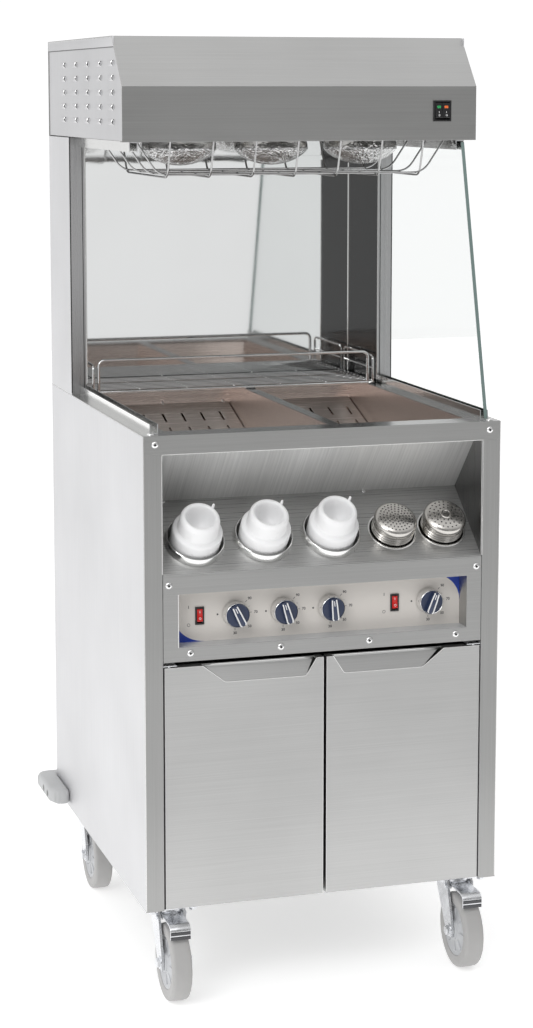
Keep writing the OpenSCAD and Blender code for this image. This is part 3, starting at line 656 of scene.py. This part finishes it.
# Half sections as (radius, height): a bottle, and a shaker with its lid
BOTTLE = [
    (0, 0), (36, 0), (39.0, 1.5), (40.5, 5.5), (40.6, 104), (40.9, 105.5), (40.9, 118.5), (40.5, 120.6), (39.4, 122.0),
    (37.6, 122.8), (34.9, 123.4), (33.5, 124.4), (32.9, 126.5), (32.7, 142), (32.3, 146), (31.2, 149.6), (29.9, 151.8),
    (28.6, 153.0), (27.2, 153.4), (25.6, 153.1), (24.2, 152.0), (23.2, 149.5), (22.4, 142), (20.6, 131), (18, 124),
    (13, 119), (7, 116.5), (0, 116),
]
for i, x in enumerate(BOTTLE_X, 1):
    place = on_shelf(x, rise=-90.5)
    bottle = Shape().lathe(place, BOTTLE, sides=96)
    tab = place @ Matrix.Rotation(math.radians(38), 4, "Z") @ Matrix.Translation((27.5, 0, 147))
    bottle.prism(
        tab @ Matrix.Rotation(math.pi / 2, 4, "X"),
        [(-1.6, 0), (4.2, -6), (5.6, -4), (5.2, 8), (4.2, 13), (1.8, 13.4), (0.4, 9)],
        -1.6, 1.6, bevel=0.7, segments=3,
    )
    bottle.make(f"bottle_{i}_turned", milk, f"bottle_{i}", "bottle_plastic", replaces=[f"bottle_{i}"])

SHAKER = [
    (0, 0), (31.5, 0), (33.5, 2), (33.5, 60.5), (34.6, 61.5), (35.6, 63.2), (35.6, 65.2), (34.5, 66.4), (35.6, 67.8),
    (35.6, 70.0), (34.5, 71.2), (35.6, 72.6), (35.6, 74.8), (34.3, 76.2), (34.1, 80.0), (35.0, 81.6), (35.6, 83.6),
    (35.5, 87.2), (34.8, 89.9), (33.4, 92.0), (31.0, 93.6), (25, 95.0), (18, 96.0), (9, 96.8), (0, 97),
]
lid_top = [p for p in SHAKER if p[1] > 92]


def lid_height(r):
    """Height of a shaker's lid at a radius."""
    for (r1, h1), (r2, h2) in zip(lid_top, lid_top[1:]):
        if r2 <= r <= r1:
            return h1 + (h2 - h1) * (r1 - r) / (r1 - r2)
    return lid_top[0][1]


for i, (x, rings, dot) in enumerate(zip(SHAKER_X, (5, 4), (1.25, 1.3)), 1):
    place = on_shelf(x, rise=-60.5)
    shaker = Shape().lathe(place, SHAKER, sides=96)
    if i == 2:
        crown = [(6.2, 96.6), (6.8, 97.6), (8.2, 97.9), (9.4, 97.5), (9.9, 96.4)]
        shaker.lathe(place, crown, sides=64, closed=True)
    shaker.make(f"shaker_{i}_turned", shaker_steel, f"shaker_{i}", "polished_steel", replaces=[f"shaker_{i}"])
    holes = Shape()
    for k in range(1, rings + 1):
        r = 27 * k / rings
        for j in range(5 * k + 2):
            a = 2 * math.pi * j / (5 * k + 2)
            spot = place @ Matrix.Translation((r * math.cos(a), r * math.sin(a), lid_height(r)))
            holes.lathe(spot, [(0, 0.25), (dot, 0.2), (dot, -0.9), (0, -0.9)], sides=12)
    holes.make(f"shaker_{i}_holes", black, f"shaker_{i}", "black_plastic")

# ---- lamps and guard ----

dome = []
for angle in range(0, 61, 4):
    a = math.radians(angle)
    dome.append((62.5 * math.sin(a) / math.sin(math.radians(60)), 52 * (1 - math.cos(a))))
silver, faces, filaments = Shape(), Shape(), Shape()
for x in LAMP_X:
    place = upright(x, 300, 1334)
    neck = [(62.5, 30), (62.0, 36), (59.5, 43), (55, 51), (47, 61)]
    neck += [(38, 69), (29, 75.5), (21, 81), (15.5, 86), (14, 90)]
    inner = [(r - 1.0, h) for r, h in reversed(neck)]
    silver.lathe(
        place, neck + [(14, 122), (12, 124), (8, 124.4), (8, 92)] + inner, sides=72, closed=True,
        ripple=lambda ring, a: 0.55 * math.cos(18 * a) if ring > 14 else 0,
    )
    shell = [(0, 0)] + dome[1:] + [(62.5, 29.5), (60.6, 29.5)]
    back = [(r * 0.97, h + 1.8) for r, h in reversed(dome[1:])]
    faces.lathe(place, shell + back + [(0, 1.8)], sides=72)
    filaments.lathe(place, [(0, 40), (3.2, 40), (4.4, 44), (4.4, 60), (7.5, 66), (7.5, 92), (0, 92)], sides=24)
    for k in range(3):
        a = 2 * math.pi * k / 3 + 0.4
        tip = [(out * math.cos(a), out * math.sin(a), rise) for out, rise in ((4, 58), (17, 45), (20, 38))]
        filaments.tube([place @ Vector(p) for p in tip], 0.0007, sides=8)
    loop = []
    for t in range(13):
        a = 0.4 + t * 0.35
        loop.append((20 * math.cos(a), 20 * math.sin(a), 38 + (1.6 if t % 2 else -1.6)))
    filaments.tube([place @ Vector(p) for p in loop], 0.0008, sides=8)
silver.make("lamp_reflectors", reflector, ROOT, "reflector", replaces=["heat_lamps"])
faces.make("lamp_faces", lamp_face, ROOT, "lamp_glass")
filaments.make("lamp_filaments", chrome, ROOT, "reflector")

guard = Shape()
for i in range(-3, 4):
    x = i * 72
    path = [at(x, 139, 1391), at(x, 162, 1319), at(x, 440, 1319), at(x, 480, 1391)]
    guard.tube(rounded(path, 0.016, 5), 0.0016)
for d in (176, 252, 340, 426):
    path = [at(-270, d, 1385), at(-228, d, 1323), at(228, d, 1323), at(270, d, 1385)]
    guard.tube(rounded(path, 0.018, 5), 0.0016)
guard.make("lamp_guard_wires", guard_wire, ROOT, "zinc", replaces=["lamp_guard"])

# ---- rack ----

rack = Shape()
near, far = RACK_D
loop = [at(x, d, RACK_Z) for x, d in ((-RACK_HALF, near), (RACK_HALF, near), (RACK_HALF, far), (-RACK_HALF, far))]
rack.tube(rounded(loop, 0.010, 5, closed=True), 0.003, sides=12, closed=True)
for i in range(9):
    d = near + 8 + i * 18
    rack.tube([at(-RACK_HALF, d, RACK_Z + 3.6), at(RACK_HALF, d, RACK_Z + 3.6)], 0.0019)
for x in (-175, -88, 0, 88, 175):
    rack.tube([at(x, near, RACK_Z), at(x, far, RACK_Z)], 0.0014)
lip = [at(x, near, z) for x, z in ((-252, RACK_Z), (-252, 985), (252, 985), (252, RACK_Z))]
rack.tube(rounded(lip, 0.012, 6), 0.0027, sides=12)
for s in (-1, 1):
    end = [at(s * RACK_HALF, d, z) for d, z in ((near, RACK_Z), (near, 977), (far, 977), (far, RACK_Z))]
    rack.tube(rounded(end, 0.012, 6), 0.0021)
    rack.tube([at(s * RACK_HALF, near, RACK_Z + 26), at(s * RACK_HALF, far, RACK_Z + 26)], 0.0016)
rack.make("fry_rack_wires", chrome, "fry_rack", "zinc", replaces=["fry_rack"])

# ---- handle of the left drip screen ----

handle = Shape()
path = [at(-107, 623, 887.5), at(-107, 634, 892), at(8, 634, 892), at(8, 623, 887.5)]
handle.tube(rounded(path, 0.004, 4), 0.002, sides=10)
handle.make("screen_left_handle", zinc, "screen_left", "brushed_steel")

# ---- screws, rivets and painted edge highlights ----

heads, sockets = Shape(), Shape()


def screw(place):
    """Dome head with a hexagonal socket."""
    heads.lathe(
        place,
        [(0, -0.1), (5.8, -0.1), (5.8, 0.6), (5.4, 1.5), (4.5, 2.4), (3.4, 3.0), (2.5, 3.2), (2.2, 3.0), (2.1, 1.2),
         (0, 1.2)],
        sides=32,
    )
    sockets.lathe(place, [(0, 1.3), (2.1, 1.3), (2.1, 0.9), (0, 0.9)], sides=6)


for s in (-1, 1):
    for x, z in ((281, 911), (260, 686), (225, 575), (75, 575)):
        screw(facing_front(s * x, 0, z))
    screw(upright(s * 285, 12, DECK_Z))
heads.make("screw_heads", chrome, ROOT, "zinc", replaces=["screws"])
sockets.make("screw_sockets", black, ROOT, "zinc")

rivets = Shape()
for place in (on_shelf(106, 150), on_shelf(-238, 150)):
    rivets.lathe(place, [(0, -0.2), (3.2, -0.2), (3.0, 0.8), (2.0, 1.6), (0, 1.9)], sides=24)
rivets.make("shelf_rivets", chrome, ROOT, "polished_steel")

DOOR_TOP = 552.7
PULL = ((204.5, DOOR_TOP - 0.1), (167.5, 524), (32.5, 524), (14.5, DOOR_TOP - 0.1))
# Thin polished tubes along each door's pull cut-out and edges: painted highlights.
for name, s in (("door_left", -1), ("door_right", 1)):
    edge_highlights = Shape()
    edge_highlights.tube(rounded([at(s * x, 0.4, z) for x, z in PULL], 0.004, 4), 0.0007, sides=8)
    edge_highlights.tube([at(s * 200, 13.2, 551.8), at(s * 17, 13.2, 551.8)], 0.0011, sides=10)
    for outer, inner in ((267.3, 204.5), (14.5, 2.7)):
        edge_highlights.tube([at(s * outer, 0.5, DOOR_TOP), at(s * inner, 0.5, DOOR_TOP)], 0.0006, sides=8)
    edge_highlights.tube([at(s * 2.9, 0.5, DOOR_TOP - 0.1), at(s * 2.9, 0.5, 158)], 0.0006, sides=8)
    edge_highlights.make(f"{name}_trim", polished, name, "brushed_steel")

RAIL_Z = 894.7
# Thin polished tubes along fold edges, brighter than the sheet around them: painted highlights.
fold_highlights, gaps = Shape(), Shape()
fold_highlights.tube([at(-WINDOW_X - 0.4, 0.2, z) for z in WINDOW_Z], 0.0009, sides=8)
fold_highlights.tube([at(-269.6, 0.3, RAIL_Z), at(269.6, 0.3, RAIL_Z)], 0.0007, sides=8)
# Polished lines on the fold edges, brighter than the sheet as painted highlights, and dark ones in joints, on both
# sides: x, setback, start, end, radius and sides
UPRIGHTS = (
    (fold_highlights, 270.3, 0.3, RAIL_Z, 704, 0.0007, 8),
    (fold_highlights, 299.3, 0.5, 157, 924, 0.0007, 8),
    (gaps, 269.5, 0.6, 704, 556, 0.0006, 6),
    (fold_highlights, 272, 520.2, 928, 1378, 0.0013, 8),
    (fold_highlights, 271.9, 683, 928, 1378, 0.0012, 8),
    (gaps, 299, 520.2, 928, 1378, 0.0011, 8),
    (gaps, 277, 519.9, 928, 1378, 0.0007, 8),
)
for s in (-1, 1):
    for shape, x, d, start, end, radius, sides in UPRIGHTS:
        shape.tube([at(s * x, d, start), at(s * x, d, end)], radius, sides=sides)
fold_highlights.make("fold_edges_painted_highlight", polished, ROOT, "brushed_steel")
nose = Shape().slab(facing_front(0, 0, 0), (-269, 700.8, -4), (269, 703.4, -0.15), bevel=0.6, segments=3)
nose.make("shelf_nose", steel_x, ROOT, "brushed_steel")
gaps.make("panel_gaps", black, ROOT, "brushed_steel")

# ---- hood cheeks ----

LOUVRE_STEPS = 14
LOUVRE_SPAN = 8
for side, s in (("left", -1), ("right", 1)):
    pressed, slots, lip_highlights = Shape(), Shape(), Shape()
    for d in (205, 292, 384, 475, 569):
        for row in range(5):
            foot = 1403 + row * 23.5
            verts, quads = [], []
            for i in range(LOUVRE_STEPS + 1):
                u = i / LOUVRE_STEPS
                for j in range(LOUVRE_SPAN + 1):
                    v = j / LOUVRE_SPAN
                    rise = 3.0 * (1 - u ** 1.7) * math.sin(math.pi * v) ** 0.7
                    verts.append(at(s * (298.7 + max(rise, 0.0)), d - 18 + 37 * u, foot + 10 * v))
            pitch = LOUVRE_SPAN + 1
            for i in range(LOUVRE_STEPS):
                for j in range(i * pitch, i * pitch + LOUVRE_SPAN):
                    quads.append((j, j + 1, j + pitch + 1, j + pitch))
            pressed.add(verts, quads)
            mouth = verts[:pitch]
            slots.add([p + Vector((0, 0.0003, 0)) for p in mouth], [tuple(range(pitch))])
            # Polished lines on the louvre mouths: painted highlights.
            lip_highlights.tube([p + Vector((s * 0.0001, -0.0002, 0)) for p in mouth], 0.0005, sides=6)
    pressed.make(f"louvres_{side}", steel_cheek, ROOT, "pale_steel")
    hem = Shape()
    outline = ((124, 1379), (124, 1464.5), (191, 1543.5), (688, 1543.5))
    # Polished line along the cheek's front fold: a painted highlight.
    lip_highlights.tube([at(s * 299.3, d, z) for d, z in outline], 0.0008, sides=8)
    lo, hi = sorted((s * 298.4, s * 299.9))
    hem.slab(Matrix.Identity(4), at(lo, 178, 1528), at(hi, 688, 1544.4), bevel=0.0003)
    slots.tube([at(s * 299.2, 180, 1527.2), at(s * 299.2, 686, 1527.2)], 0.0007, sides=6)
    hem.make(f"cheek_hem_{side}", steel_cheek, ROOT, "pale_steel")
    lip_highlights.make(f"louvre_edges_painted_highlight_{side}", polished, ROOT, "pale_steel")
    slots.make(f"louvre_slots_{side}", black, ROOT, "pale_steel")

# ---- castors ----

# Half sections as (radius, offset along the axle), mirrored about the wheel's middle
TREAD = [(43, -13), (44, -15), (47, -15.6), (54, -16), (58, -15.8), (60.4, -14.9), (61.8, -13.2), (62.3, -10.5),
         (62.5, -7)]
RIM = [(8.1, -18), (15, -18), (16.5, -17.2), (17, -15), (20, -12.5), (36, -10.5), (40, -12.5), (43.2, -14)]


def both_halves(half):
    return half + [(r, -h) for r, h in reversed(half)]


for row, swivel in zip(("front", "rear"), SWIVEL_D):
    for side, s in (("left", -1), ("right", 1)):
        wheel = f"caster_wheel_{row}_{side}"
        fork = f"caster_fork_{row}_{side}"
        axle = upright(s * CASTER_X, swivel - TRAIL, AXLE_Z) @ Matrix.Rotation(math.pi / 2, 4, "Y")
        tread = Shape().lathe(axle, both_halves(TREAD), sides=96, closed=True)
        tread.make(f"{wheel}_tyre", tyre, wheel, "tyre_grey", replaces=[wheel])
        core = Shape().lathe(axle, both_halves(RIM), sides=96, closed=True)
        for k in range(8):
            spoke = axle @ Matrix.Rotation(math.radians(45 * k), 4, "Z")
            core.slab(spoke, (18, -1.6, -13.4), (38, 1.6, 13.4), bevel=0.8)
        core.make(f"{wheel}_hub", hub, wheel, "tyre_grey")
        bolts = Shape()
        for end in (-1, 1):
            out = axle @ Matrix.Rotation(0 if end > 0 else math.pi, 4, "X")
            bolts.lathe(out, [(0, 22.8), (10.5, 22.8), (10.5, 24.2), (9.8, 24.6), (0, 24.6)], sides=32)
            bolts.lathe(out, [(0, 24.6), (8.4, 24.6), (8.4, 28.6), (7.4, 29.6), (4.6, 29.8), (0, 30.2)], sides=6)
        race = [(24, 138.5), (27.6, 138.5), (28.4, 140.5), (28.2, 143.6), (26.8, 144.4), (24, 144.4)]
        bolts.lathe(upright(s * CASTER_X, swivel, 0), race, sides=64, closed=True)
        bolts.make(f"{fork}_bolts", zinc, fork, "zinc")

plate_bolts = Shape()
for d in SWIVEL_D:
    for s in (-1, 1):
        place = upright(s * CASTER_X, d, 0)
        race = [(20, 145.4), (25.4, 145.2), (27.0, 147.2), (27.0, 149.6), (25.4, 151), (20, 151)]
        plate_bolts.lathe(place, race, sides=64, closed=True)
        for i in (-1, 1):
            for j in (-1, 1):
                spot = place @ Matrix.Translation((i * 34, j * 34, 0))
                plate_bolts.lathe(spot, [(0, 151), (8.5, 151), (8.5, 149.6), (7.9, 149.2), (0, 149.2)], sides=28)
                plate_bolts.lathe(spot, [(0, 149.2), (6.6, 149.2), (6.6, 145.6), (5.8, 144.8), (0, 144.8)], sides=6)
plate_bolts.make("caster_plate_bolts", zinc, ROOT, "zinc")


def strip(points, thick):
    """Outline of a bent strip of even thickness along a path of 2-D points."""
    left, right = [], []
    for i, p in enumerate(points):
        way = (points[min(i + 1, len(points) - 1)] - points[max(i - 1, 0)]).normalized()
        side = Vector((-way.y, way.x, 0)) * thick / 2
        left.append((p + side)[:2])
        right.append((p - side)[:2])
    return left + right[::-1]


PEDAL = ((44, 131), (40, 135.5), (24, 137), (-16, 136), (-24.5, 131), (-24.5, 114.6))
EAR = ((46, 130), (46, 137), (38, 140), (28, 139), (26, 135.5), (30, 130))
PEDAL_AXIS = (38, 134)
for side, s in (("left", -1), ("right", 1)):
    body = f"brake_pedal_{side}"
    mid = s * CASTER_X
    sideways = upright(0, 0, 0) @ SIDEWAYS
    bend = rounded([Vector((d, z, 0)) for d, z in PEDAL], 6, 6)
    pedal = Shape().prism(sideways, strip(bend, 2.6), mid - 17, mid + 17, bevel=0.7)
    for z in (117, 124.5):
        pedal.slab(upright(mid, 0, z), (-16.4, -26.2, -2.9), (16.4, -25.6, 2.9), 1, bevel=0.25)
    for k in (-1, 1):
        pedal.prism(sideways, EAR, mid + k * 16.2 - 0.8, mid + k * 16.2 + 0.8, bevel=0.3)
        end = upright(mid + k * 24, *PEDAL_AXIS) @ Matrix.Rotation(k * math.pi / 2, 4, "Y")
        pedal.lathe(end, [(0, -2), (4, -2), (5.6, 0.2), (5.2, 1.4), (3.6, 2.2), (0, 2.4)], sides=28)
    pedal.tube([at(mid - 24, *PEDAL_AXIS), at(mid + 24, *PEDAL_AXIS)], 0.0039, sides=24)
    pedal.make(f"{body}_plate", [zinc, tab_steel], body, "zinc", replaces=[body])

# ---- bumpers and gland ----

BUMPER = (
    (300.2, 574), (318, 574), (326, 579), (330, 588), (335, 600), (335, 694), (333.5, 701), (330, 707), (324, 711),
    (316, 712.5), (272, 712.5), (264, 711), (260.5, 707), (260, 700), (260, 690.2), (300.2, 690.2),
)
guards, recess = Shape(), Shape()
for s in (-1, 1):
    plan = [(s * x, d) for x, d in BUMPER]
    guards.prism(upright(0, 0, 0), plan, 161.2, 188.8, bevel=7.5, segments=5)
    for d in (610, 644):
        dish = upright(s * 335, d, 175) @ Matrix.Rotation(s * math.pi / 2, 4, "Y")
        recess.lathe(dish, [(0, 0.02), (6.2, 0.02), (6.2, -2), (0, -2)], sides=32)
guards.make("corner_bumpers_moulded", bumper, ROOT, "bumper_plastic", replaces=["corner_bumpers"])
recess.make("bumper_screw_holes", black, ROOT, "bumper_plastic")

gland = Shape()
out = facing_front(-220, BODY_D, 250) @ Matrix.Rotation(math.pi, 4, "Y")
gland.lathe(out, [(4.5, 0.2), (14.5, 0.2), (14.5, 5.5), (13.6, 6.5), (4.5, 6.5)], sides=6, closed=True)
gland.make("cable_gland_nut", black, ROOT, "black_plastic")

# ---- camera, light and floor ----

camera = bpy.data.objects.new("camera", bpy.data.cameras.new("camera"))
bpy.context.scene.collection.objects.link(camera)
bpy.context.scene.camera = camera
camera.location = (-1.1531, -3.7800, 1.4564)
camera.rotation_euler = (math.pi / 2 - 0.1329, 0, -0.2969)
camera.data.lens = 80.75
camera.data.sensor_width = 36
camera.data.shift_y = -0.111
camera.data.clip_start, camera.data.clip_end = 0.1, 60

floor_graph = Graph("studio_floor")
floor_noise = floor_graph.noise((1.3, 1.3, 1.3), 3.0)
floor_graph.tint(floor_noise, (0.90, 0.90, 0.90), (0.92, 0.92, 0.92))
floor_graph.set(Roughness=0.7, Emission_Strength=0.42)
floor_graph.bsdf.inputs["Emission Color"].default_value = (1, 1, 1, 1)
floor_mesh = bpy.data.meshes.new("studio_floor")
floor_mesh.from_pydata([(-9, -1.5, 0), (9, -1.5, 0), (9, 9, 0), (-9, 9, 0)], [], [(0, 1, 2, 3)])
floor_mesh.materials.append(floor_graph.mat)
floor = bpy.data.objects.new("studio_floor", floor_mesh)
bpy.context.scene.collection.objects.link(floor)

world = bpy.data.worlds.new("studio")
bpy.context.scene.world = world
world.use_nodes = True
tree = world.node_tree
tree.nodes.clear()


def ramp_on(axis, low, high, start, end):
    """Smooth step from low to high along one axis of the view direction."""
    span = new_node(tree, "ShaderNodeMapRange", interpolation_type="SMOOTHSTEP")
    set_range(span, start, end, low, high)
    tree.links.new(axes.outputs[axis], span.inputs["Value"])
    return span.outputs["Result"]


def combine(kind, a, b):
    """Math node on two outputs, the second of which may be a number."""
    node = new_node(tree, "ShaderNodeMath", operation=kind)
    tree.links.new(a, node.inputs[0])
    if isinstance(b, float):
        node.inputs[1].default_value = b
    else:
        tree.links.new(b, node.inputs[1])
    return node.outputs[0]


axes = new_node(tree, "ShaderNodeSeparateXYZ")
tree.links.new(new_node(tree, "ShaderNodeTexCoord").outputs["Generated"], axes.inputs[0])
glow = combine("ADD", ramp_on("X", 0.50, 0.0, -0.9, -0.2), 0.28)
for part in (
    ramp_on("X", 0.0, 0.20, 0.4, 0.95),
    ramp_on("Z", 0.0, 0.50, 0.3, 0.9),
    ramp_on("Z", 1.15, 0.0, -0.42, -0.10),
    ramp_on("Y", 0.0, 0.55, 0.2, 0.9),
):
    glow = combine("ADD", glow, part)
# Card in front of the cabinet, for the polished back to mirror
card = combine("MULTIPLY", ramp_on("Z", 0.0, 0.55, -0.16, -0.12), ramp_on("Z", 1.0, 0.0, 0.01, 0.04))
for edge in (
    ramp_on("X", 0.0, 1.0, 0.12, 0.16),
    ramp_on("X", 1.0, 0.0, 0.42, 0.46),
    ramp_on("Y", 1.0, 0.0, -0.6, -0.4),
):
    card = combine("MULTIPLY", card, edge)
glow = combine("MINIMUM", combine("ADD", glow, card), 1.35)
# The camera itself sees plain white
seen = new_node(tree, "ShaderNodeMix", data_type="FLOAT")
tree.links.new(new_node(tree, "ShaderNodeLightPath").outputs["Is Camera Ray"], seen.inputs["Factor"])
tree.links.new(glow, seen.inputs["A"])
seen.inputs["B"].default_value = 1.05
background = new_node(tree, "ShaderNodeBackground", Color=(1, 1, 1, 1))
tree.links.new(seen.outputs["Result"], background.inputs["Strength"])
world_out = new_node(tree, "ShaderNodeOutputWorld")
tree.links.new(background.outputs[0], world_out.inputs["Surface"])


def area(name, location, target, size, power):
    """Rectangular lamp aimed at a target."""
    data = bpy.data.lights.new(name, "AREA")
    data.shape = "RECTANGLE"
    data.size, data.size_y = size
    data.energy = power
    obj = bpy.data.objects.new(name, data)
    obj.location = location
    obj.rotation_euler = (Vector(target) - Vector(location)).to_track_quat("-Z", "Y").to_euler()
    bpy.context.scene.collection.objects.link(obj)


area("key_left", (-2.8, -3.0, 2.9), (0, -0.3, 0.9), (1.8, 1.8), 45)
area("fill_top", (-0.6, -2.4, 3.6), (0, 0, 0.9), (2.0, 1.6), 14)

bpy.context.scene.view_settings.view_transform = "Standard"
